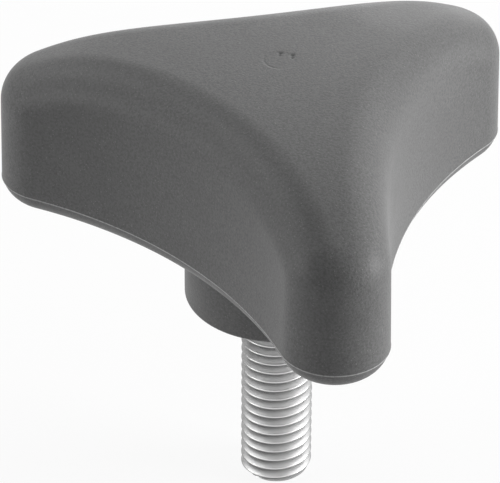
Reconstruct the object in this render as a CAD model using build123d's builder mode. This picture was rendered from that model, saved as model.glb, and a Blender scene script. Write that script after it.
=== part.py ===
from build123d import *
import os
from math import atan2, cos, degrees, hypot, radians, sin, tan

# Three-lobed star knob with a fixed threaded stud, in millimetres, +Z up.
# The grip is one moulding with its hub. It is moulded around the hexagon head of the stud.
# The origin is the centre of the hub's seating face, and the first lobe points to -Y.

# Grip seen from above, at the level of the lobes' undersides
lobe_count = 3
first_lobe_angle = -90.0
knob_radius = 40.0
lobe_end_radius = 7.5
waist_radius = 18.15
flank_draft = 1.1

# Hub, a plain boss that carries the grip clear of the seat
hub_radius = 12.9
hub_height = 9.85
hub_edge_chamfer = 0.5

# Crown, measured from the lobes' undersides
crown_height = 27.2
crown_drop = 5.3
# Handles of the crown's curve: it sets out level from the axis and comes level again at the rim
crown_level_handle = 34.1
crown_rim_handle = 13.3
shoulder_fillet = 6.4
# Flat that stays between the shoulders on a lobe's end, at the least
shoulder_land = 0.5
underside_fillet = 4.05

# Gate mark, a shallow dish at the top of the crown
gate_radius = 2.3
gate_depth = 0.3

# Coring from below, which leaves walls of even thickness
flank_wall = 4.2
crown_wall = 4.0
core_draft = 1.0
core_corner_radius = 1.2
web_width = 12.0
rib_thickness = 2.2
rib_setback = 3.0

# Stud with its thread's outer diameter, and the shank and hexagon head inside the hub
stud_radius = 5.0
stud_length = 30.0
stud_end_chamfer = 0.9
shank_radius = 4.5
head_across_flats = 17.0
head_thickness = 6.4
head_depth = 12.0
head_chamfer = 0.8

# Countersink in the hub's face, wider than the thread by this much all round
mouth_clearance = 0.75

# Places that follow from the sizes above
lobe_step = 360.0 / lobe_count
first_waist_angle = first_lobe_angle + lobe_step / 2
underside = hub_height
crown_top = underside + crown_height
crown_rim = crown_top - crown_drop
lobe_centre_radius = knob_radius - lobe_end_radius
lobe_end_under_crown = lobe_end_radius - crown_height * tan(radians(flank_draft))

# A finger hollow is one arc that touches the round ends of both lobes beside it
half_step = cos(radians(lobe_step / 2))
hollow_radius = (
    lobe_centre_radius**2
    + waist_radius**2
    - 2 * lobe_centre_radius * waist_radius * half_step
    - lobe_end_radius**2
) / (2 * (lobe_centre_radius * half_step + lobe_end_radius - waist_radius))
hollow_centre_radius = waist_radius + hollow_radius
touch_angle = degrees(
    atan2(
        hollow_centre_radius * sin(radians(lobe_step / 2)),
        hollow_centre_radius * half_step - lobe_centre_radius,
    )
)


def polar(radius, angle):
    """Point at a radius and an angle in degrees about the knob's axis."""
    return (radius * cos(radians(angle)), radius * sin(radians(angle)))


def star_face(inset):
    """Face of the star outline, moved inwards by inset."""
    with BuildSketch() as star:
        with BuildLine():
            for lobe in range(lobe_count):
                lobe_angle = first_lobe_angle + lobe * lobe_step
                CenterArc(
                    polar(lobe_centre_radius, lobe_angle),
                    lobe_end_radius - inset,
                    lobe_angle - touch_angle,
                    2 * touch_angle,
                )
                CenterArc(
                    polar(hollow_centre_radius, lobe_angle + lobe_step / 2),
                    hollow_radius + inset,
                    lobe_angle + touch_angle + 180,
                    lobe_step - 2 * touch_angle,
                )
        make_face()
    return star.sketch


def axis_gap(edge):
    """Distance from the knob's axis to the nearer end of an edge."""
    return min(hypot(end.X, end.Y) for end in (edge @ 0, edge @ 1))


# Steel stud: free thread, shank in the hub, and the hexagon head that keeps it there
with BuildPart() as threaded_stud:
    with BuildSketch(Plane.XY.offset(head_depth)):
        RegularPolygon(head_across_flats / 2, 6, major_radius=False)
    extrude(amount=head_thickness)
    chamfer(threaded_stud.faces().sort_by(Axis.Z)[-1].edges(), head_chamfer)
    with BuildSketch():
        Circle(shank_radius)
    extrude(amount=head_depth)
    with BuildSketch(Plane.XY.offset(-stud_length)):
        Circle(stud_radius)
    extrude(amount=stud_length)
    chamfer(threaded_stud.faces().sort_by(Axis.Z)[0].edges(), stud_end_chamfer)

# Core that forms the pockets in each lobe, with a rib between them along the lobe's middle
with BuildPart() as coring:
    with BuildSketch(Plane.XY.offset(underside)):
        add(star_face(flank_wall))
        Circle(hub_radius, mode=Mode.SUBTRACT)
        with PolarLocations(0, lobe_count, start_angle=first_waist_angle):
            Rectangle(
                knob_radius, web_width, align=(Align.MIN, Align.CENTER), mode=Mode.SUBTRACT
            )
        offset(amount=-core_corner_radius, mode=Mode.REPLACE)
        offset(amount=core_corner_radius, kind=Kind.ARC, mode=Mode.REPLACE)
    extrude(amount=crown_height, taper=core_draft)
    with BuildSketch(Plane.XZ):
        Polygon(
            (0, 0),
            (knob_radius, 0),
            (knob_radius, crown_rim - crown_wall),
            (hub_radius, crown_top - crown_wall),
            (0, crown_top - crown_wall),
            align=None,
        )
    revolve(axis=Axis.Z, mode=Mode.INTERSECT)
    with BuildSketch(Plane.XY.offset(underside + rib_setback)):
        with PolarLocations(0, lobe_count, start_angle=first_lobe_angle):
            Rectangle(knob_radius, rib_thickness, align=(Align.MIN, Align.CENTER))
    extrude(amount=crown_height, taper=-core_draft, mode=Mode.SUBTRACT)

# Moulded grip and hub
with BuildPart() as knob_body:
    with BuildSketch(Plane.XY.offset(underside)):
        add(star_face(0))
    extrude(amount=crown_height, taper=flank_draft)
    with BuildSketch(Plane.XZ):
        with BuildLine():
            Bezier(
                (0, crown_top),
                (crown_level_handle, crown_top),
                (knob_radius - crown_rim_handle, crown_rim),
                (knob_radius, crown_rim),
            )
            Polyline((knob_radius, crown_rim), (knob_radius, 0), (0, 0), (0, crown_top))
        make_face()
    revolve(axis=Axis.Z, mode=Mode.INTERSECT)
    crown_edges = knob_body.faces().sort_by(Axis.Z)[-1].edges()
    fillet(
        crown_edges.filter_by(lambda edge: axis_gap(edge) > hub_radius),
        min(shoulder_fillet, lobe_end_under_crown - shoulder_land),
    )
    fillet(knob_body.edges().group_by(Axis.Z)[0], min(underside_fillet, flank_wall))
    with BuildSketch():
        Circle(hub_radius)
    extrude(amount=underside + crown_wall)
    chamfer(knob_body.edges().group_by(Axis.Z)[0], hub_edge_chamfer)
    gate_curve = (gate_radius**2 + gate_depth**2) / (2 * gate_depth)
    with Locations((0, 0, crown_top - gate_depth + gate_curve)):
        Sphere(gate_curve, mode=Mode.SUBTRACT)
    add(coring.part, mode=Mode.SUBTRACT)
    add(threaded_stud.part, mode=Mode.SUBTRACT)
    mouth_edge = knob_body.edges().group_by(Axis.Z)[0].sort_by(SortBy.RADIUS)[0]
    chamfer(mouth_edge, stud_radius + mouth_clearance - shank_radius)

threaded_stud.part.label = "threaded_stud"
knob_body.part.label = "knob_body"

os.makedirs("parts", exist_ok=True)
export_step(threaded_stud.part, "parts/threaded_stud.step")
export_step(knob_body.part, "parts/knob_body.step")
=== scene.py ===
"""Looks of a three-lobed star knob with a threaded stud: skins, thread, finishes, studio and camera."""
import logging
import math
from collections.abc import Callable
from dataclasses import dataclass
from enum import Enum

import bmesh
import bpy
import numpy as np
from mathutils import Matrix, Vector
from mathutils.geometry import tessellate_polygon


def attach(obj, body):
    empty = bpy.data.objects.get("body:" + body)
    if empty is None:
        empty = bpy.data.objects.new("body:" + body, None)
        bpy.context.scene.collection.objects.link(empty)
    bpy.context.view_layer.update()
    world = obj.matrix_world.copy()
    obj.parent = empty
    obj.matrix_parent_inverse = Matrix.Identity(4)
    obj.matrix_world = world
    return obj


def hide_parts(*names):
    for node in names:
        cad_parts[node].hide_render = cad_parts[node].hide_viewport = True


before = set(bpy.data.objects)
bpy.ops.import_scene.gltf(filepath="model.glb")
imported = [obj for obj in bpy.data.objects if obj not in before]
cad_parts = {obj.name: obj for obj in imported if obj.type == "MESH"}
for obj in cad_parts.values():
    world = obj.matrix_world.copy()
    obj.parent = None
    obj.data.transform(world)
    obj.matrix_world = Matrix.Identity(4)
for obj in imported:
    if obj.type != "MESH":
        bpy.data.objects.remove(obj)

log = logging.getLogger("star_knob")

Array = np.ndarray
Socket = bpy.types.NodeSocket
# A stretch of values over which a mask changes
Band = tuple[float, float]

MM = 0.001
TURN = 2 * math.pi
# Points closer than this are one point of the mesh
WELD = 2e-7
# Keeps the floor clear of the stud's end face
FLOOR_GAP = 0.05 * MM
# Halvings that find a place on a wall to a rounding error
HALVINGS = 40
GRAIN_INPUTS = ("Fine Scale", "Coarse Scale", "Fleck Scale", "Fleck Rarity")
# Nearly all of a noise's values lie in this band
NOISE_BAND: Band = (0.3, 0.7)


class Slot(Enum):
    """Material slots of the record."""

    PLASTIC = "moulded_plastic"
    STEEL = "zinc_plated_steel"


class MeshDraft:
    """One closed piece, gathered from surfaces that share their edges."""

    def __init__(self) -> None:
        """Starts empty."""
        self.points: list[Array] = []
        self.faces: list[list[int]] = []
        self.count = 0

    def add(self, points: Array, faces: Array) -> None:
        """Adds points with faces that index them.

        Args:
            points: Array of places, with x, y and z last.
            faces: Corner numbers, one row for each face.
        """
        self.faces += (faces + self.count).tolist()
        self.points.append(points.reshape(-1, 3))
        self.count += len(self.points[-1])

    def add_grid(self, grid: Array, closed: bool = True) -> None:
        """Adds a grid of quads.

        Args:
            grid: Array of rows by columns by 3, with columns running round the piece.
            closed: Whether the last column joins the first.
        """
        rows, columns = grid.shape[:2]
        number = np.arange(rows * columns).reshape(rows, columns)
        if closed:
            number = np.concatenate([number, number[:, :1]], axis=1)
        corners = [number[:-1, :-1], number[:-1, 1:], number[1:, 1:], number[1:, :-1]]
        self.add(grid, np.stack(corners, axis=-1).reshape(-1, 4))

    def add_fan(self, ring: Array, tip: Array) -> None:
        """Adds triangles from a ring of points to a tip.

        Args:
            ring: Points in order round the tip.
            tip: The point that they meet in.
        """
        number = np.arange(len(ring))
        faces = np.column_stack([number, np.roll(number, -1), np.full_like(number, len(ring))])
        self.add(np.vstack([ring, tip]), faces)

    def add_plate(self, loops: list[Array]) -> None:
        """Adds a flat face with holes.

        Args:
            loops: The outer loop and then each hole, all at one height.
        """
        faces = tessellate_polygon([[Vector(point / MM) for point in loop] for loop in loops])
        self.add(np.vstack(loops), np.array(faces))

    def build(self, name: str, crease: float) -> bpy.types.Object:
        """Makes the object, with doubles merged and faces outwards.

        Args:
            name: Name of the piece.
            crease: Angle in radians past which an edge stays sharp.

        Returns:
            The finished object.
        """
        mesh = bpy.data.meshes.new(name)
        mesh.from_pydata(np.vstack(self.points).tolist(), [], self.faces)
        work = bmesh.new()
        work.from_mesh(mesh)
        bmesh.ops.remove_doubles(work, verts=work.verts, dist=WELD)
        bmesh.ops.dissolve_degenerate(work, edges=work.edges, dist=WELD)
        bmesh.ops.recalc_face_normals(work, faces=work.faces)
        open_edges = sum(1 for edge in work.edges if not edge.is_manifold)
        work.to_mesh(mesh)
        work.free()
        mesh.polygons.foreach_set("use_smooth", np.ones(len(mesh.polygons), dtype=bool))
        mesh.set_sharp_from_angle(angle=crease)
        mesh.update()
        piece = bpy.data.objects.new(name, mesh)
        bpy.context.scene.collection.objects.link(piece)
        log.info("%s: %d faces, %d open edges", name, len(mesh.polygons), open_edges)
        return piece


def rays(turned: Array | float) -> Array:
    """Unit vectors at angles in the plan, with x and y last."""
    return np.stack([np.cos(turned), np.sin(turned)], axis=-1)


def ring_row(reach: Array | float, height: float, turned: Array) -> Array:
    """Points round the axis, at a distance from it and a height."""
    flat = np.broadcast_to(reach, len(turned))[:, None] * rays(turned)
    return np.column_stack([flat, np.full(len(turned), height)])


def smooth_step(value: Array, low: float, high: float) -> Array:
    """Share from 0 at low to 1 at high, level at both ends: three squares less two cubes of it."""
    share = np.clip((value - low) / (high - low), 0, 1)
    return share * share * (3 - 2 * share)


def round_cut(first: Array, second: Array, radius: float) -> Array:
    """Distance to the common part of two shapes, with the corner between them rounded.

    Outside the corner it is the length of both distances past the radius, and inside the larger one.

    Args:
        first: Distances to the first shape, negative inside.
        second: Distances to the second shape.
        radius: Radius of the corner.

    Returns:
        Distances to the rounded common part.
    """
    past_first, past_second = first + radius, second + radius
    outside = np.hypot(np.maximum(past_first, 0), np.maximum(past_second, 0))
    return outside - radius + np.minimum(np.maximum(past_first, past_second), 0)


@dataclass
class StarPlan:
    """The grip seen from above: three round lobe ends, joined by long finger hollows."""

    lobes: int = 3
    first_lobe: float = math.radians(-90)
    knob_radius: float = 40 * MM
    end_radius: float = 7.5 * MM
    waist_radius: float = 18.15 * MM
    end_steps: int = 44
    hollow_steps: int = 104

    def __post_init__(self) -> None:
        """Works out the finger hollow as the arc that touches both lobe ends."""
        self.step = TURN / self.lobes
        self.centre_radius = self.knob_radius - self.end_radius
        share = math.cos(self.step / 2)
        reach = self.centre_radius
        self.hollow_radius = (
            reach**2 + self.waist_radius**2 - 2 * reach * self.waist_radius * share - self.end_radius**2
        ) / (2 * (reach * share + self.end_radius - self.waist_radius))
        self.hollow_reach = self.waist_radius + self.hollow_radius
        self.touch = math.atan2(
            self.hollow_reach * math.sin(self.step / 2), self.hollow_reach * share - reach
        )

    def stations(self) -> tuple[Array, Array]:
        """Points of the outline and its outward normals.

        A point is the centre of its arc plus the normal times the arc's radius, which counts as negative in
        a hollow.

        Returns:
            Points and normals, each an array of stations by 2.
        """
        touch, step = self.touch, self.step
        arcs = (
            (0.0, self.centre_radius, self.end_radius, -touch, touch, self.end_steps),
            (step / 2, self.hollow_reach, -self.hollow_radius, touch, step - touch, self.hollow_steps),
        )
        points, normals = [], []
        for lobe in range(self.lobes):
            middle = self.first_lobe + lobe * self.step
            for aside, reach, radius, first, last, steps in arcs:
                normals.append(rays(np.linspace(first, last, steps, endpoint=False) + middle))
                points.append(reach * rays(middle + aside) + radius * normals[-1])
        return np.vstack(points), np.vstack(normals)

    def distance(self, along: Array, across: Array) -> Array:
        """Distance to the outline, negative inside, near one lobe.

        Args:
            along: Places along the lobe's middle line.
            across: Places across it.

        Returns:
            Distance to the lobe end where the normal is a lobe end's, and else to the hollow's arc.
        """
        side = np.abs(across)
        to_end = np.hypot(along - self.centre_radius, side) - self.end_radius
        centre_x, centre_y = self.hollow_reach * rays(self.step / 2)
        to_hollow = self.hollow_radius - np.hypot(along - centre_x, side - centre_y)
        angle = np.arctan2(side, along - self.centre_radius)
        return np.where(angle < self.touch, to_end, to_hollow)


@dataclass
class Crown:
    """The crown, a surface of revolution whose meridian is one cubic curve.

    It sets out level from the axis, as the solids' crown does. At the rim it still falls, where the solids'
    crown comes level, because the photo's outline rolls over the lobe ends without a flat. The handles are
    measured along the radius, and rim_rise is how far the rim's handle climbs from the rim.
    """

    top: float
    radius: float
    drop: float = 8.26 * MM
    level_handle: float = 27.07 * MM
    rim_handle: float = 8.48 * MM
    rim_rise: float = 4.47 * MM
    samples: int = 4000

    def __post_init__(self) -> None:
        """Tabulates reach, height and slope along the cubic with its level and its sloping handle."""
        share = np.linspace(0, 1, self.samples)
        rest = 1 - share
        late, end = 3 * rest * share**2, share**3
        self.reach = 3 * rest**2 * share * self.level_handle
        self.reach += late * (self.radius - self.rim_handle) + end * self.radius
        self.height = self.top - late * (self.drop - self.rim_rise) - end * self.drop
        self.slope = np.gradient(self.height, self.reach)

    def height_at(self, reach: Array) -> Array:
        """Height of the crown at a distance from the axis."""
        return np.interp(reach, self.reach, self.height)

    def offset(self, inward: float) -> tuple[Array, Array]:
        """The meridian moved inwards along its normal.

        Args:
            inward: Distance of the move.

        Returns:
            Distances from the axis and heights of the moved curve.
        """
        length = np.hypot(1, self.slope)
        return self.reach + inward * self.slope / length, self.height - inward / length


@dataclass(frozen=True)
class HexHead:
    """The stud's hexagon head, and the cavity of the same shape that the moulding has round it."""

    across: float = 17 * MM
    low: float = 12 * MM
    high: float = 18.4 * MM
    chamfer: float = 0.8 * MM

    def rows(self, turned: Array) -> list[Array]:
        """Rings of the head, from its lower face up to the edge of its top.

        A side's distance is half the width across flats over the cosine of the angle from its middle.

        Args:
            turned: Directions of the rings' points.

        Returns:
            The rings, each an array of points by 3.
        """
        sixth = math.pi / 3
        sides = self.across / 2 / np.cos(np.mod(turned, sixth) - sixth / 2)
        return [
            ring_row(sides, self.low, turned),
            ring_row(sides, self.high - self.chamfer, turned),
            ring_row(sides - self.chamfer, self.high, turned),
        ]


@dataclass
class KnobBody:
    """The moulded grip with its hub, as one closed skin.

    The gate's wall, its groove and dish_rows are shares of the gate mark's radius, and ridge_span and
    ridge_blend are counted in widths of the flash.
    """

    plan: StarPlan
    head: HexHead
    hub_radius: float = 12.9 * MM
    hub_height: float = 9.85 * MM
    hub_edge: float = 0.55 * MM
    crown_height: float = 27.2 * MM
    draft: float = math.radians(1.1)
    shoulder: float = 6.4 * MM
    underside_round: float = 4.05 * MM
    parting: float = 3.32 * MM
    flash: float = 0.045 * MM
    flash_width: float = 0.075 * MM
    ridge_span: float = 5.0
    ridge_blend: float = 4.0
    skin_inset: float = 0.062 * MM
    gate_radius: float = 2.3 * MM
    gate_depth: float = 0.03 * MM
    gate_x: float = 0.26 * MM
    gate_y: float = 0.33 * MM
    gate_wall: float = 0.8
    gate_groove: float = 0.07 * MM
    gate_groove_place: float = 0.98
    gate_groove_width: float = 0.07
    gate_groove_side: float = math.radians(-155)
    gate_pits: tuple[tuple[float, float, float], ...] = (
        (0.62 * MM, 2.05 * MM, 0.3 * MM),
        (2.05 * MM, 1.2 * MM, 0.33 * MM),
        (1.9 * MM, 0.6 * MM, 0.2 * MM),
        (0.42 * MM, 1.55 * MM, 0.2 * MM),
    )
    gate_pit_depth: float = 0.2 * MM
    wall: float = 4.2 * MM
    crown_wall: float = 4.0 * MM
    ceiling_fall: float = 5.3 * MM
    core_draft: float = math.radians(1.0)
    core_corner: float = 1.2 * MM
    web: float = 12 * MM
    rib: float = 2.2 * MM
    rib_setback: float = 3 * MM
    pocket_middle: float = 22 * MM
    pocket_reach: float = 24 * MM
    hub_ledge: float = 0.05 * MM
    mouth_radius: float = 5.75 * MM
    mouth_land: float = 0.1 * MM
    mouth_break: float = 0.08 * MM
    shank_radius: float = 4.5 * MM
    crease: float = math.radians(35)
    arc_rows: int = 15
    ridge_rows: int = 21
    flank_rows: int = 26
    shoulder_rows: int = 17
    crown_rows: int = 46
    fine_crown_radius: float = 6.9 * MM
    dish_rows: tuple[tuple[float, float, int], ...] = ((2.6, 1.4, 7), (1.3, 0.04, 36))
    ball_rounds: int = 12
    hub_steps: int = 144
    hub_edge_rows: int = 7
    pocket_steps: int = 72
    setback_rows: int = 3
    rib_rows: int = 7
    rib_steps: int = 14
    rib_end_steps: int = 7
    ceiling_rounds: int = 8
    ceiling_shares: tuple[float, ...] = (0.66, 0.33, 0.0)

    def __post_init__(self) -> None:
        """Places the crown over the hub."""
        self.crown = Crown(top=self.hub_height + self.crown_height, radius=self.plan.knob_radius)

    def section(self) -> tuple[Array, Array]:
        """Lower part of the side, from the underside to above the parting line.

        The rounded bottom edge is an arc that touches the drafted flank. It blends into the flank's straight
        line just under the parting line, and a low ridge of flash, a bell curve, stands on the line itself.

        Returns:
            Outward places and heights over the underside.
        """
        radius, lean = self.underside_round, math.tan(self.draft)
        centre = -radius * (1 + math.sin(self.draft)) / math.cos(self.draft)
        ends = math.asin((self.parting - radius) / radius)
        turned = np.linspace(-math.pi / 2, ends, self.arc_rows)
        heights = radius + radius * np.sin(turned)
        steps = np.linspace(-self.ridge_span, self.ridge_span, self.ridge_rows)
        near = self.parting + self.flash_width * steps
        heights = np.union1d(np.round(heights, 9), np.round(near, 9))
        heights = heights[heights <= near[-1]]
        on_arc = centre + np.sqrt(np.maximum(radius**2 - (heights - radius) ** 2, 0))
        on_flank = -heights * lean
        blend = smooth_step(heights, self.parting - self.ridge_blend * self.flash_width, self.parting)
        ridge = self.flash * np.exp(-(((heights - self.parting) / self.flash_width) ** 2))
        return on_arc * (1 - blend) + on_flank * blend + ridge, heights

    def shoulder_balls(self, points: Array, normals: Array) -> tuple[Array, ...]:
        """Rolls a ball inside the edge between the flank and the crown.

        The ball's centre lies one radius inside the drafted flank and on the crown's inward offset, which a
        few rounds of substitution find, because its height hardly moves its distance from the axis.

        Args:
            points: Outline points.
            normals: Outline normals.

        Returns:
            Heights of the flank's touching points over the underside, the ball centres, and the crown's
            distances from the axis and slopes at its touching points.
        """
        radius = self.shoulder
        offset_reach, offset_height = self.crown.offset(radius)
        inward = radius * math.cos(self.draft)
        touch = np.full(len(points), self.crown_height - radius)
        for _ in range(self.ball_rounds):
            centre = points - normals * (touch * math.tan(self.draft) + inward)[:, None]
            reach = np.hypot(centre[:, 0], centre[:, 1])
            height = np.interp(reach, offset_reach, offset_height) - self.hub_height
            touch = height + radius * math.sin(self.draft)
        on_crown = np.interp(reach, offset_reach, self.crown.reach)
        slope = np.interp(reach, offset_reach, self.crown.slope)
        balls = np.column_stack([centre, height + self.hub_height])
        return touch, balls, on_crown, slope

    def outer_skin(self, draft: MeshDraft) -> Array:
        """Adds the side, the shoulder and the crown with its gate mark.

        The outline is set in by a hair's breadth, so that the ridge of flash stays inside the solids' box.

        Args:
            draft: The piece to add to.

        Returns:
            The lowest loop, where the rounded bottom edge meets the underside.
        """
        points, normals = self.plan.stations()
        points = points - normals * self.skin_inset
        out, heights = self.section()
        touch, balls, on_crown, slope = self.shoulder_balls(points, normals)
        rows = [self.side_row(points, normals, place, height) for place, height in zip(out, heights)]
        low = heights[-1]
        for share in np.linspace(0, 1, self.flank_rows)[1:]:
            height = low + (touch - low) * share
            rows.append(self.side_row(points, normals, -height * math.tan(self.draft), height))
        flank_normal = np.column_stack(
            [normals * math.cos(self.draft), np.full(len(points), math.sin(self.draft))]
        )
        azimuth = np.arctan2(balls[:, 1], balls[:, 0])
        length = np.hypot(1, slope)
        crown_normal = np.column_stack([-(slope / length)[:, None] * rays(azimuth), 1 / length])
        between = np.arccos(np.clip(np.sum(flank_normal * crown_normal, axis=1), -1, 1))[:, None]
        for share in np.linspace(0, 1, self.shoulder_rows)[1:]:
            # Equal turns from the flank's normal to the crown's
            turned = np.sin((1 - share) * between) * flank_normal + np.sin(share * between) * crown_normal
            rows.append(balls + self.shoulder * turned / np.sin(between))
        for share in np.linspace(0, 1, self.crown_rows)[1:]:
            rows.append(self.crown_row(on_crown + (self.fine_crown_radius - on_crown) * share, azimuth))
        inner = np.concatenate([np.linspace(*stretch) for stretch in self.dish_rows])
        for reach in inner * self.gate_radius:
            rows.append(self.crown_row(np.full(len(points), reach), azimuth))
        draft.add_grid(np.stack(rows))
        draft.add_fan(rows[-1], self.crown_row(np.zeros(1), np.zeros(1))[0])
        return rows[0]

    def side_row(self, points: Array, normals: Array, out: Array | float, height: Array | float) -> Array:
        """Points of the side that stand out from the outline, at a height over the underside."""
        flat = points + normals * np.broadcast_to(out, len(points))[:, None]
        return np.column_stack([flat, np.broadcast_to(height, len(points)) + self.hub_height])

    def crown_row(self, reach: Array, azimuth: Array) -> Array:
        """Points of the crown, with the gate mark in it.

        The mark is a shallow dish with a smooth step for its wall, a ring groove along the wall, deepest on
        one side, and the torn gate's round pits. The groove and the pits are bell curves.

        Args:
            reach: Distances from the axis.
            azimuth: Directions from the axis.

        Returns:
            Array of points by 3.
        """
        x, y = reach * np.cos(azimuth), reach * np.sin(azimuth)
        from_x, from_y = x - self.gate_x, y - self.gate_y
        share = np.hypot(from_x, from_y) / self.gate_radius
        dish = 1 - smooth_step(share, self.gate_wall, 1.0)
        side = 0.5 + 0.5 * np.cos(np.arctan2(from_y, from_x) - self.gate_groove_side)
        groove = side**2 * np.exp(-(((share - self.gate_groove_place) / self.gate_groove_width) ** 2))
        height = self.crown.height_at(reach) - self.gate_depth * dish - self.gate_groove * groove
        for pit_x, pit_y, spread in self.gate_pits:
            away = np.hypot(x - pit_x, y - pit_y) / spread
            height = height - self.gate_pit_depth * np.exp(-(away**2))
        return np.column_stack([x, y, height])

    def pocket_distance(self, along: Array, across: Array, deep: Array) -> Array:
        """Distance to a lobe's pocket, negative inside it.

        The pocket is the outline less its wall, outside the hub and beside the webs, all with core draft.

        Args:
            along: Places along the lobe's middle line.
            across: Places across it.
            deep: Heights over the underside.

        Returns:
            Distances to the pocket's rounded outline at those heights.
        """
        lean = deep * math.tan(self.core_draft)
        inside = self.plan.distance(along, across) + self.wall + lean
        half = self.plan.step / 2
        beside = self.web / 2 + lean - (along * math.sin(half) - np.abs(across) * math.cos(half))
        clear = self.hub_radius + self.hub_ledge + lean - np.hypot(along, across)
        return round_cut(round_cut(inside, beside, self.core_corner), clear, self.core_corner)

    def first_wall(self, across: Array, turned: Array, deep: Array) -> tuple[Array, Array]:
        """Places where rays from inside the pocket meet its wall.

        Halving the stretch that holds the wall, many times, finds each place.

        Args:
            across: Places of the rays' starts across the lobe.
            turned: Directions of the rays.
            deep: Heights over the underside.

        Returns:
            The places, along and across the lobe.
        """
        near, far = np.zeros_like(turned), np.full_like(turned, self.pocket_reach)
        for _ in range(HALVINGS):
            middle = (near + far) / 2
            along = self.pocket_middle + middle * np.cos(turned)
            inside = self.pocket_distance(along, across + middle * np.sin(turned), deep) < 0
            near, far = np.where(inside, middle, near), np.where(inside, far, middle)
        return self.pocket_middle + near * np.cos(turned), across + near * np.sin(turned)

    def ceiling(self, reach: Array) -> Array:
        """Height of a pocket's ceiling over the underside: level over the hub, then falling straight."""
        share = np.clip((reach - self.hub_radius) / (self.plan.knob_radius - self.hub_radius), 0, 1)
        return self.crown_height - self.crown_wall - share * self.ceiling_fall

    def half_wall(self, deep: Array) -> tuple[Array, Array]:
        """One half of a pocket's wall, from the lobe's end round to the hub, beside the rib.

        Args:
            deep: Height over the underside of each station.

        Returns:
            Stations on the wall, along and across the lobe.
        """
        half_rib = self.rib / 2 + np.maximum(deep - self.rib_setback, 0) * math.tan(self.core_draft)
        return self.first_wall(half_rib, np.linspace(0, math.pi, self.pocket_steps), deep)

    def rib_end(self, turned: float, deep: float) -> tuple[Array, Array]:
        """Stations of the wall across the rib's end.

        Args:
            turned: Direction from the pocket's middle to that end.
            deep: Height over the underside.

        Returns:
            Stations on the wall, along and across the lobe, without the two on the rib's sides.
        """
        columns = np.linspace(1, -1, self.rib_end_steps)[1:-1] * -math.copysign(1, math.cos(turned))
        across = self.rib / 2 * columns
        return self.first_wall(across, np.full(len(across), turned), np.full(len(across), deep))

    def pocket(self, draft: MeshDraft, lobe_angle: float) -> Array:
        """Adds one lobe's pocket with its rib.

        Args:
            draft: The piece to add to.
            lobe_angle: Direction of the lobe.

        Returns:
            The pocket's mouth on the underside.
        """
        cos, sin = math.cos(lobe_angle), math.sin(lobe_angle)

        def place(along: Array, across: Array, deep: Array) -> Array:
            """Points in the knob's frame."""
            level = np.broadcast_to(deep + self.hub_height, along.shape)
            return np.stack([along * cos - across * sin, along * sin + across * cos, level], axis=-1)

        lower = []
        for deep in np.linspace(0, self.rib_setback, self.setback_rows):
            along, across = self.half_wall(np.full(self.pocket_steps, deep))
            by_hub = place(*self.rib_end(math.pi, deep), deep)
            by_end = place(*self.rib_end(0.0, deep), deep)
            right, left = place(along, across, deep), place(along[::-1], -across[::-1], deep)
            lower.append(np.vstack([right, by_hub, left, by_end]))
        draft.add_grid(np.stack(lower))
        top = np.full(self.pocket_steps, self.ceiling(np.zeros(1))[0])
        for _ in range(self.ceiling_rounds):
            top = self.ceiling(np.hypot(*self.half_wall(top)))
        right_edge, left_edge = (self.chamber(draft, place, side, top) for side in (1, -1))
        # The rib's lower face, between the two rib ends of the last row
        draft.add_plate([np.vstack([right_edge, by_end[::-1], left_edge[::-1], by_hub[::-1]])])
        return lower[0]

    def chamber(self, draft: MeshDraft, place: Callable[..., Array], side: int, top: Array) -> Array:
        """Adds the walls and the ceiling of a pocket on one side of its rib.

        Args:
            draft: The piece to add to.
            place: Puts points of the lobe into the knob's frame.
            side: 1 for one side of the rib and -1 for the other.
            top: Heights of the ceiling at the wall's stations, over the underside.

        Returns:
            The rib's lower edge on that side, from the hub to the lobe's end.
        """
        inner = np.linspace(0, 1, self.rib_steps)[1:-1]
        rows = []
        for share in np.linspace(0, 1, self.rib_rows):
            deep = self.rib_setback + (top - self.rib_setback) * share
            along, across = self.half_wall(deep)
            rib_along = along[-1] + (along[0] - along[-1]) * inner
            rib_deep = self.rib_setback + (self.ceiling(rib_along) - self.rib_setback) * share
            half_rib = self.rib / 2 + (rib_deep - self.rib_setback) * math.tan(self.core_draft)
            wall, rib = place(along, side * across, deep), place(rib_along, side * half_rib, rib_deep)
            rows.append(np.vstack([wall, rib]))
        draft.add_grid(np.stack(rows))
        flat = rows[-1][:, :2]
        middle = flat.mean(axis=0)
        rings = rows[-1:]
        for share in self.ceiling_shares:
            spread = middle + (flat - middle) * share
            level = self.ceiling(np.hypot(spread[:, 0], spread[:, 1])) + self.hub_height
            rings.append(np.column_stack([spread, level]))
        draft.add_grid(np.stack(rings[:-1]))
        draft.add_fan(rings[-2], rings[-1][0])
        return np.vstack([rows[0][self.pocket_steps - 1 :], rows[0][:1]])

    def hub(self, draft: MeshDraft) -> Array:
        """Adds the hub, its seating face, the countersink and the cavity round the shank and the head.

        Args:
            draft: The piece to add to.

        Returns:
            The hub's loop on the underside.
        """
        turned = np.linspace(0, TURN, self.hub_steps, endpoint=False)
        edge, radius = self.hub_edge, self.hub_radius
        profile = [(radius, self.hub_height), (radius, self.hub_height / 2)]
        for leaned in np.linspace(0, math.pi / 2, self.hub_edge_rows):
            profile.append((radius - edge + edge * math.cos(leaned), edge - edge * math.sin(leaned)))
        profile += [
            (self.mouth_radius + self.mouth_land, 0.0),
            (self.mouth_radius - self.mouth_break, self.mouth_break),
            (self.shank_radius, self.mouth_radius - self.shank_radius),
            (self.shank_radius, self.head.low),
        ]
        rows = [ring_row(reach, height, turned) for reach, height in profile] + self.head.rows(turned)
        draft.add_grid(np.stack(rows))
        draft.add_fan(rows[-1], np.array([0, 0, self.head.high]))
        return rows[0]

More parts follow.
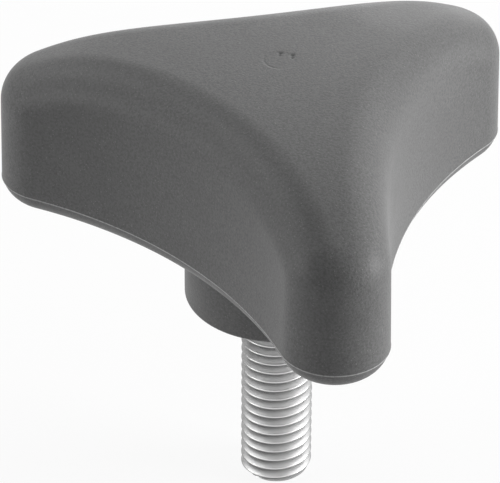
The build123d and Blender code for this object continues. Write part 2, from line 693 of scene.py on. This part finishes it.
    def build(self) -> bpy.types.Object:
        """Builds the closed skin.

        Returns:
            The piece, which stands for the moulding.
        """
        draft = MeshDraft()
        outer = self.outer_skin(draft)
        hub = self.hub(draft)
        mouths = [
            self.pocket(draft, self.plan.first_lobe + lobe * self.plan.step)
            for lobe in range(self.plan.lobes)
        ]
        draft.add_plate([outer, hub, *mouths])
        return draft.build("grip_moulding", self.crease)


@dataclass
class ThreadedStud:
    """The steel stud: a rolled thread, the shank and the hexagon head in the hub.

    The root's round, the crest's flat and half_rows, the rows of half a pitch, are shares of the pitch, and
    run_out_lead is a share of the runout.
    """

    head: HexHead
    radius: float = 5 * MM
    pitch: float = 1.5 * MM
    length: float = 30 * MM
    chamfer: float = 0.9 * MM
    root_radius: float = 4.08 * MM
    root_round: float = 0.144
    half_flank: float = math.radians(30)
    crest_flat: float = 0.0625
    crest_fall: float = 0.03 * MM
    end_rim: float = 0.1 * MM
    shank_radius: float = 4.5 * MM
    run_out: float = 1.2 * MM
    run_out_lead: float = 0.1
    crease: float = math.radians(40)
    steps: int = 120
    phase: float = 0.17
    half_rows: tuple[float, ...] = (0.0, 0.03, 0.055, 0.0725, 0.1, 0.18, 0.27, 0.34, 0.375, 0.4, 0.43, 0.465)

    def profile(self, share: Array) -> Array:
        """Distance from the axis over one pitch, from crest to crest.

        The flanks stand at 60 degrees to each other. The crest is a narrow flat with soft corners, and the
        root is the arc that touches both flanks.

        Args:
            share: Places in the pitch, from -0.5 to 0.5, with the crest at 0.

        Returns:
            Distances from the axis.
        """
        away = np.abs(share) * self.pitch
        flat = self.pitch * self.crest_flat
        slope = 1 / math.tan(self.half_flank)
        flank = self.radius - slope * (away - flat)
        round_root = self.root_round * self.pitch
        from_root = self.pitch / 2 - away
        arc = self.root_radius + round_root - np.sqrt(np.maximum(round_root**2 - from_root**2, 0))
        touch = round_root * math.cos(self.half_flank)
        body = np.where(from_root < touch, arc, flank)
        crest = self.radius - self.crest_fall * (away / flat) ** 2
        return np.minimum(body, crest)

    def build(self) -> bpy.types.Object:
        """Builds the stud as one closed mesh.

        Rows follow the helix: a row's height grows by one pitch over a turn, so crests stay crisp. Rows past
        the ends are pressed flat there and merge.

        Returns:
            The piece, which stands for the stud.
        """
        half = np.array(self.half_rows)
        shares = np.concatenate([half, [0.5], 1 - half[:0:-1]])
        turns = np.arange(-1, math.ceil((self.length + self.run_out) / self.pitch) + 1)
        places = (turns[:, None] + shares[None]).ravel()
        turned = np.linspace(0, TURN, self.steps + 1)
        phase = np.where(shares > 0.5, shares - 1, shares)
        reach = np.tile(self.profile(phase), len(turns))[:, None]
        rise = self.pitch * (places[:, None] + turned[None] / TURN + self.phase)
        height = np.clip(rise, 0, self.length + self.run_out)
        reach = np.minimum(reach, self.radius - self.chamfer + height)
        lead = self.run_out_lead * self.run_out
        fade = smooth_step(rise, self.length - lead, self.length + self.run_out)
        reach = reach * (1 - fade) + self.shank_radius * fade
        tip = self.root_radius
        reach = np.where(rise <= 0, tip, reach)
        angles = np.broadcast_to(turned[None], reach.shape)
        grid = np.stack([reach * np.cos(angles), reach * np.sin(angles), height - self.length], axis=-1)
        draft = MeshDraft()
        draft.add_grid(grid, closed=False)
        ring = turned[:-1]
        # A narrow rim round the end face takes up the thread's shading, so the face stays flat
        end_rim = np.stack([ring_row(edge, -self.length, ring) for edge in (tip, tip - self.end_rim)])
        draft.add_grid(end_rim)
        draft.add_fan(end_rim[-1], np.array([0, 0, -self.length]))
        shank = [ring_row(self.shank_radius, level, ring) for level in (self.run_out, self.head.low)]
        rows = shank + self.head.rows(ring)
        draft.add_grid(np.stack(rows))
        draft.add_fan(rows[-1], np.array([0, 0, self.head.high]))
        return draft.build("stud_thread", self.crease)


class NodeSheet:
    """A node tree under construction, with short calls for nodes and links."""

    def __init__(self, tree: bpy.types.NodeTree) -> None:
        """Keeps the tree to build in."""
        self.tree = tree

    def node(self, kind: str, **settings: object) -> bpy.types.Node:
        """Adds a node.

        Args:
            kind: Blender's name of the node type.
            settings: Properties to set on it.

        Returns:
            The node.
        """
        made = self.tree.nodes.new(kind)
        for name, value in settings.items():
            setattr(made, name, value)
        return made

    def link(self, source: Socket, target: Socket) -> None:
        """Joins an output to an input."""
        self.tree.links.new(source, target)

    def feed(self, target: Socket, value: object) -> None:
        """Joins an output to an input, or sets the input to a plain value.

        Args:
            target: The input.
            value: The output, or the value.
        """
        if isinstance(value, Socket):
            self.link(value, target)
        else:
            target.default_value = value

    def math(self, operation: str, first: object, second: object = 0.0) -> Socket:
        """Works out one value from two, each a number or an output.

        Args:
            operation: Blender's name of the operation.
            first: First value.
            second: Second value.

        Returns:
            The result's socket.
        """
        made = self.node("ShaderNodeMath", operation=operation)
        for socket, value in zip(made.inputs, (first, second)):
            self.feed(socket, value)
        return made.outputs[0]

    def ramp(
        self, value: Socket, low: float, high: float, start: float = 0.0, end: float = 1.0
    ) -> Socket:
        """Maps a value smoothly from one range to another.

        Args:
            value: The value to map.
            low: Where the start is reached.
            high: Where the end is reached.
            start: Result at low.
            end: Result at high.

        Returns:
            The result's socket.
        """
        made = self.node("ShaderNodeMapRange", interpolation_type="SMOOTHSTEP")
        self.link(value, made.inputs["Value"])
        for name, number in zip(("From Min", "From Max", "To Min", "To Max"), (low, high, start, end)):
            made.inputs[name].default_value = number
        return made.outputs["Result"]

    def mix(self, share: object, first: object, second: object) -> Socket:
        """Mixes two colours, each four numbers or an output, by a share.

        Args:
            share: Share of the second colour.
            first: First colour.
            second: Second colour.

        Returns:
            The mixed colour's socket.
        """
        made = self.node("ShaderNodeMix", data_type="RGBA")
        # A Mix node's colour sockets come after those of its other data types
        for number, value in ((0, share), (6, first), (7, second)):
            self.feed(made.inputs[number], value)
        return made.outputs[2]

    def bump(self, height: Socket, distance: float) -> Socket:
        """Makes a normal from a height.

        Args:
            height: The height, from 0 to 1.
            distance: How high the surface stands where that is 1.

        Returns:
            The normal's socket.
        """
        made = self.node("ShaderNodeBump")
        made.inputs["Distance"].default_value = distance
        self.link(height, made.inputs["Height"])
        return made.outputs["Normal"]

    def place(self) -> tuple[Socket, ...]:
        """Reads the object coordinates.

        Returns:
            The sockets of x, y and z.
        """
        made = self.node("ShaderNodeSeparateXYZ")
        self.link(self.node("ShaderNodeTexCoord").outputs["Object"], made.inputs[0])
        return tuple(made.outputs)


def grey(level: float) -> tuple[float, float, float, float]:
    """A grey of one linear level, as a colour."""
    return (level, level, level, 1.0)


def new_material(name: str) -> tuple[bpy.types.Material, NodeSheet, bpy.types.Node]:
    """Starts a material.

    Args:
        name: Name of the material.

    Returns:
        The material, the sheet for its nodes, and its shader.
    """
    made = bpy.data.materials.new(name)
    made.use_nodes = True
    return made, NodeSheet(made.node_tree), made.node_tree.nodes["Principled BSDF"]


@dataclass(frozen=True)
class Grain:
    """Values of the shared grain on one finish: its scales per metre, and the share without flecks."""

    fine: float
    coarse: float
    fleck: float
    rarity: float

    def add_to(self, sheet: NodeSheet, group: bpy.types.NodeTree) -> bpy.types.Node:
        """Places the shared group in a material, with these values.

        Args:
            sheet: The material's nodes.
            group: The shared grain.

        Returns:
            The group's node.
        """
        made = sheet.node("ShaderNodeGroup", node_tree=group)
        for name, value in zip(GRAIN_INPUTS, (self.fine, self.coarse, self.fleck, self.rarity)):
            made.inputs[name].default_value = value
        return made


def grain_group() -> bpy.types.NodeTree:
    """Builds the shared grain: fine and coarse unevenness and rare flecks, all from object coordinates.

    Returns:
        A group with inputs Fine Scale, Coarse Scale, Fleck Scale and Fleck Rarity, and outputs Fine, Coarse
        and Fleck.
    """
    group = bpy.data.node_groups.new("surface_grain", "ShaderNodeTree")
    for way, names in (("INPUT", GRAIN_INPUTS), ("OUTPUT", ("Fine", "Coarse", "Fleck"))):
        for name in names:
            group.interface.new_socket(name, in_out=way, socket_type="NodeSocketFloat")
    sheet = NodeSheet(group)
    into = sheet.node("NodeGroupInput")
    out = sheet.node("NodeGroupOutput")
    place = sheet.node("ShaderNodeTexCoord").outputs["Object"]
    noise_roughness = 0.6
    for name, detail in (("Fine", 3.0), ("Coarse", 2.0)):
        noise = sheet.node("ShaderNodeTexNoise")
        noise.inputs["Detail"].default_value = detail
        noise.inputs["Roughness"].default_value = noise_roughness
        sheet.link(place, noise.inputs["Vector"])
        sheet.link(into.outputs[name + " Scale"], noise.inputs["Scale"])
        sheet.link(noise.outputs["Fac"], out.inputs[name])
    cells = sheet.node("ShaderNodeTexVoronoi", feature="F1")
    sheet.link(place, cells.inputs["Vector"])
    sheet.link(into.outputs["Fleck Scale"], cells.inputs["Scale"])
    split = sheet.node("ShaderNodeSeparateColor")
    sheet.link(cells.outputs["Color"], split.inputs[0])
    # Each cell's random colour says whether it has a fleck, which fades between these shares of the cell
    core, rim = 0.18, 0.42
    chosen = sheet.math("GREATER_THAN", split.outputs[0], into.outputs["Fleck Rarity"])
    inside = sheet.ramp(cells.outputs["Distance"], rim, core)
    strength = sheet.math("MULTIPLY", chosen, inside)
    sheet.link(sheet.math("MULTIPLY", strength, split.outputs[1]), out.inputs["Fleck"])
    return group


@dataclass(frozen=True)
class MattPlastic:
    """Dark grey moulding with a fine spark-eroded texture, light flecks and a painted highlight along the
    parting line, for the glint of its ridge of flash.
    """

    grain: Grain = Grain(fine=3000.0, coarse=90.0, fleck=4400.0, rarity=0.82)
    base: float = 0.125
    mottle: float = 0.05
    mottle_band: Band = (0.35, 0.65)
    pit: float = 0.62
    pit_band: Band = (0.6, 0.35)
    pit_cover: float = 0.6
    fleck: float = 0.21
    # Painted highlight on the parting line, for the glint of its ridge of flash: its grey, the heights it
    # fades over, and the noise that breaks it up
    line: float = 0.38
    glint_band: Band = (0.05 * MM, 0.11 * MM)
    glint_break_band: Band = (0.3, 0.55)
    glint_least: float = 0.55
    roughness: Band = (0.41, 0.51)
    specular: float = 0.22
    bump: float = 0.05 * MM

    def material(self, group: bpy.types.NodeTree, parting_height: float) -> bpy.types.Material:
        """Builds the material.

        Args:
            group: The shared grain.
            parting_height: Height of the parting line in the knob's frame.

        Returns:
            The material.
        """
        made, sheet, shader = new_material("matt_plastic")
        fine, coarse, fleck = self.grain.add_to(sheet, group).outputs
        mottled = sheet.mix(
            sheet.ramp(coarse, *self.mottle_band),
            grey(self.base * (1 - self.mottle)),
            grey(self.base * (1 + self.mottle)),
        )
        pits = sheet.ramp(fine, *self.pit_band, 0.0, self.pit_cover)
        pitted = sheet.mix(pits, mottled, grey(self.base * self.pit))
        flecked = sheet.mix(fleck, pitted, grey(self.fleck))
        height = sheet.place()[2]
        # Painted highlight along the parting line, broken up by the fine noise
        off_line = sheet.math("ABSOLUTE", sheet.math("SUBTRACT", height, parting_height))
        on_line = sheet.ramp(off_line, *self.glint_band, 1.0, 0.0)
        glint_gaps = sheet.ramp(fine, *self.glint_break_band, self.glint_least, 1.0)
        painted_glint = sheet.math("MULTIPLY", on_line, glint_gaps)
        sheet.link(sheet.mix(painted_glint, flecked, grey(self.line)), shader.inputs["Base Color"])
        rough = sheet.ramp(coarse, *NOISE_BAND, *self.roughness)
        sheet.link(rough, shader.inputs["Roughness"])
        shader.inputs["Specular IOR Level"].default_value = self.specular
        sheet.link(sheet.bump(fine, self.bump), shader.inputs["Normal"])
        return made


@dataclass(frozen=True)
class ZincPlate:
    """Bright zinc plating over a rolled thread, with painted shade down in the roots and where the surface
    turns away from the view.
    """

    grain: Grain = Grain(fine=1800.0, coarse=260.0, fleck=1500.0, rarity=0.9)
    base: float = 0.72
    cloud: float = 0.9
    # Painted shade in the thread's roots, fading out at this share of the way up to the crests
    root: float = 0.66
    root_shade_share: float = 0.6
    # Painted shade where the surface turns away from the view: its grey, and the band of the facing value
    # over which it comes in
    edge: float = 0.3
    grazing_shade_band: Band = (0.12, 0.5)
    metallic: float = 0.8
    roughness: Band = (0.37, 0.5)
    bump: float = 0.003 * MM

    def material(
        self, group: bpy.types.NodeTree, root_radius: float, crest_radius: float
    ) -> bpy.types.Material:
        """Builds the material.

        Args:
            group: The shared grain.
            root_radius: Distance of the thread's roots from the axis.
            crest_radius: Distance of its crests.

        Returns:
            The material.
        """
        made, sheet, shader = new_material("zinc_plate")
        fine, coarse, _ = self.grain.add_to(sheet, group).outputs
        squares = [sheet.math("MULTIPLY", axis, axis) for axis in sheet.place()[:2]]
        reach = sheet.math("SQRT", sheet.math("ADD", *squares))
        # Painted shade in the roots, fading out up the flanks
        root_shade_top = root_radius + self.root_shade_share * (crest_radius - root_radius)
        clouds = sheet.ramp(coarse, *NOISE_BAND)
        cloudy = sheet.mix(clouds, grey(self.base * self.cloud), grey(self.base))
        plated = sheet.mix(sheet.ramp(reach, root_radius, root_shade_top), grey(self.root), cloudy)
        # Painted shade towards the grazing edges
        facing = sheet.node("ShaderNodeLayerWeight").outputs["Facing"]
        away = sheet.ramp(facing, *self.grazing_shade_band)
        sheet.link(sheet.mix(away, plated, grey(self.edge)), shader.inputs["Base Color"])
        shader.inputs["Metallic"].default_value = self.metallic
        rough = sheet.ramp(fine, *NOISE_BAND, *self.roughness)
        sheet.link(rough, shader.inputs["Roughness"])
        sheet.link(sheet.bump(fine, self.bump), shader.inputs["Normal"])
        return made


def direction(azimuth: float, elevation: float) -> Vector:
    """Unit vector towards an azimuth, counted from +X, and an elevation, in radians."""
    flat = math.cos(elevation)
    return Vector((flat * math.cos(azimuth), flat * math.sin(azimuth), math.sin(elevation)))


@dataclass(frozen=True)
class Softbox:
    """One square soft lamp that faces the knob, with its direction in degrees and its power in watts."""

    name: str
    azimuth: float
    elevation: float
    side: float
    power: float
    distance: float = 0.5


@dataclass
class Studio:
    """Pale floor, soft lamps and the white room."""

    floor_height: float
    focus_height: float
    lamps: tuple[Softbox, ...] = (
        Softbox("low_right_lamp", -20.0, 8.0, 0.29, 3.2),
        Softbox("high_right_lamp", 0.0, 52.0, 0.5, 1.03),
        Softbox("back_right_lamp", 60.0, 10.0, 0.36, 0.52),
        Softbox("high_back_lamp", 60.0, 52.0, 0.5, 0.63),
        Softbox("low_back_lamp", 90.0, 10.0, 0.36, 0.28),
        Softbox("back_left_lamp", 150.0, 40.0, 0.3, 0.82),
        Softbox("left_lamp", 180.0, 8.0, 0.2, 0.67),
    )
    mirrored_level: float = 1.0
    floor_half: float = 3.0
    floor_level: float = 0.86
    floor_roughness: float = 0.9
    floor_glow: float = 0.9

    def build_lamps(self) -> None:
        """Hangs each lamp at its direction from the knob and turns it to face the knob."""
        focus = Vector((0, 0, self.focus_height))
        for lamp in self.lamps:
            data = bpy.data.lights.new(lamp.name, "AREA")
            data.shape = "SQUARE"
            data.size = lamp.side
            data.energy = lamp.power
            unit = bpy.data.objects.new(lamp.name, data)
            way = direction(math.radians(lamp.azimuth), math.radians(lamp.elevation))
            unit.location = focus + way * lamp.distance
            unit.rotation_euler = way.to_track_quat("Z", "Y").to_euler()
            bpy.context.scene.collection.objects.link(unit)
            log.info("lamp %s", lamp.name)

    def build_world(self) -> None:
        """Makes the room white to the camera and to what mirrors it, and dark to all else."""
        world = bpy.data.worlds.new("studio")
        world.use_nodes = True
        bpy.context.scene.world = world
        sheet = NodeSheet(world.node_tree)
        background = world.node_tree.nodes["Background"]
        background.inputs["Color"].default_value = grey(1.0)
        path = sheet.node("ShaderNodeLightPath")
        mirrored = sheet.math("MULTIPLY", path.outputs["Is Glossy Ray"], self.mirrored_level)
        sheet.link(sheet.math("ADD", path.outputs["Is Camera Ray"], mirrored), background.inputs["Strength"])

    def build_floor(self) -> None:
        """Lays the floor, which glows nearly white, takes a soft shadow and is clear from below."""
        half = self.floor_half
        corners = [(-half, -half), (half, -half), (half, half), (-half, half)]
        mesh = bpy.data.meshes.new("floor")
        mesh.from_pydata([(x, y, self.floor_height) for x, y in corners], [], [(0, 1, 2, 3)])
        floor = bpy.data.objects.new("floor", mesh)
        bpy.context.scene.collection.objects.link(floor)
        made, sheet, shader = new_material("pale_floor")
        shader.inputs["Base Color"].default_value = grey(self.floor_level)
        shader.inputs["Roughness"].default_value = self.floor_roughness
        glow = sheet.node("ShaderNodeEmission")
        blend = sheet.node("ShaderNodeMixShader")
        path = sheet.node("ShaderNodeLightPath")
        seen = sheet.math("MAXIMUM", path.outputs["Is Camera Ray"], path.outputs["Is Glossy Ray"])
        sheet.link(sheet.math("MULTIPLY", seen, self.floor_glow), blend.inputs[0])
        sheet.link(shader.outputs[0], blend.inputs[1])
        sheet.link(glow.outputs[0], blend.inputs[2])
        below = sheet.node("ShaderNodeMixShader")
        sheet.link(sheet.node("ShaderNodeNewGeometry").outputs["Backfacing"], below.inputs[0])
        sheet.link(blend.outputs[0], below.inputs[1])
        sheet.link(sheet.node("ShaderNodeBsdfTransparent").outputs[0], below.inputs[2])
        sheet.link(below.outputs[0], made.node_tree.nodes["Material Output"].inputs["Surface"])
        mesh.materials.append(made)


@dataclass
class PhotoCamera:
    """The photograph's camera: its direction and distance from the aim point, and that point's pixel.

    Width, height, focal length and aim are in pixels of the photograph, and the sensor is in millimetres.
    """

    aim_height: float
    width: float = 500
    height: float = 483
    azimuth: float = math.radians(-103.25)
    elevation: float = math.radians(33.196)
    roll: float = math.radians(0.496)
    distance: float = 520.75 * MM
    focal_pixels: float = 3785.3
    aim_x: float = 278.01
    aim_y: float = 231.5
    sensor: float = 36

    def build(self) -> None:
        """Places the camera so that the aim point falls on its pixel."""
        data = bpy.data.cameras.new("photo_camera")
        data.sensor_width = self.sensor
        data.lens = self.sensor * self.focal_pixels / self.width
        camera = bpy.data.objects.new("photo_camera", data)
        bpy.context.scene.collection.objects.link(camera)
        back = direction(self.azimuth, self.elevation)
        right = Vector((-math.sin(self.azimuth), math.cos(self.azimuth), 0))
        up = back.cross(right)
        facing = Matrix((right, up, back)).transposed() @ Matrix.Rotation(self.roll, 3, "Z")
        ray = Vector((self.aim_x - self.width / 2, self.height / 2 - self.aim_y, -self.focal_pixels))
        turn = ray.rotation_difference(Vector((0, 0, -1))).to_matrix()
        place = Vector((0, 0, self.aim_height)) + back * self.distance
        camera.matrix_world = Matrix.Translation(place) @ (facing @ turn).to_4x4()
        bpy.context.scene.camera = camera
        log.info("camera %.0f mm away", self.distance / MM)


def dress(piece: bpy.types.Object, node: str, slot: Slot, material: bpy.types.Material) -> None:
    """Gives a piece its material, hangs it on the root body and hides the CAD node that it stands in for.

    Args:
        piece: The finished piece.
        node: The CAD node that it replaces.
        slot: The record's slot that its finish belongs to. It is not used.
        material: Its material.
    """
    piece.data.materials.append(material)
    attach(piece, "root")
    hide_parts(node)


def main() -> None:
    """Builds the knob, the studio and the camera."""
    logging.basicConfig(level=logging.INFO, format="%(name)s %(message)s")
    bpy.context.scene.view_settings.view_transform = "Standard"
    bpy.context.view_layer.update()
    grain = grain_group()
    head = HexHead()
    body = KnobBody(plan=StarPlan(), head=head)
    stud = ThreadedStud(head=head)
    plastic = MattPlastic().material(grain, body.hub_height + body.parting)
    steel = ZincPlate().material(grain, stud.root_radius, stud.radius)
    dress(body.build(), "knob_body", Slot.PLASTIC, plastic)
    dress(stud.build(), "threaded_stud", Slot.STEEL, steel)
    studio = Studio(floor_height=-stud.length - FLOOR_GAP, focus_height=body.hub_height)
    studio.build_floor()
    studio.build_lamps()
    studio.build_world()
    PhotoCamera(aim_height=body.hub_height).build()


if __name__ == "__main__":
    main()
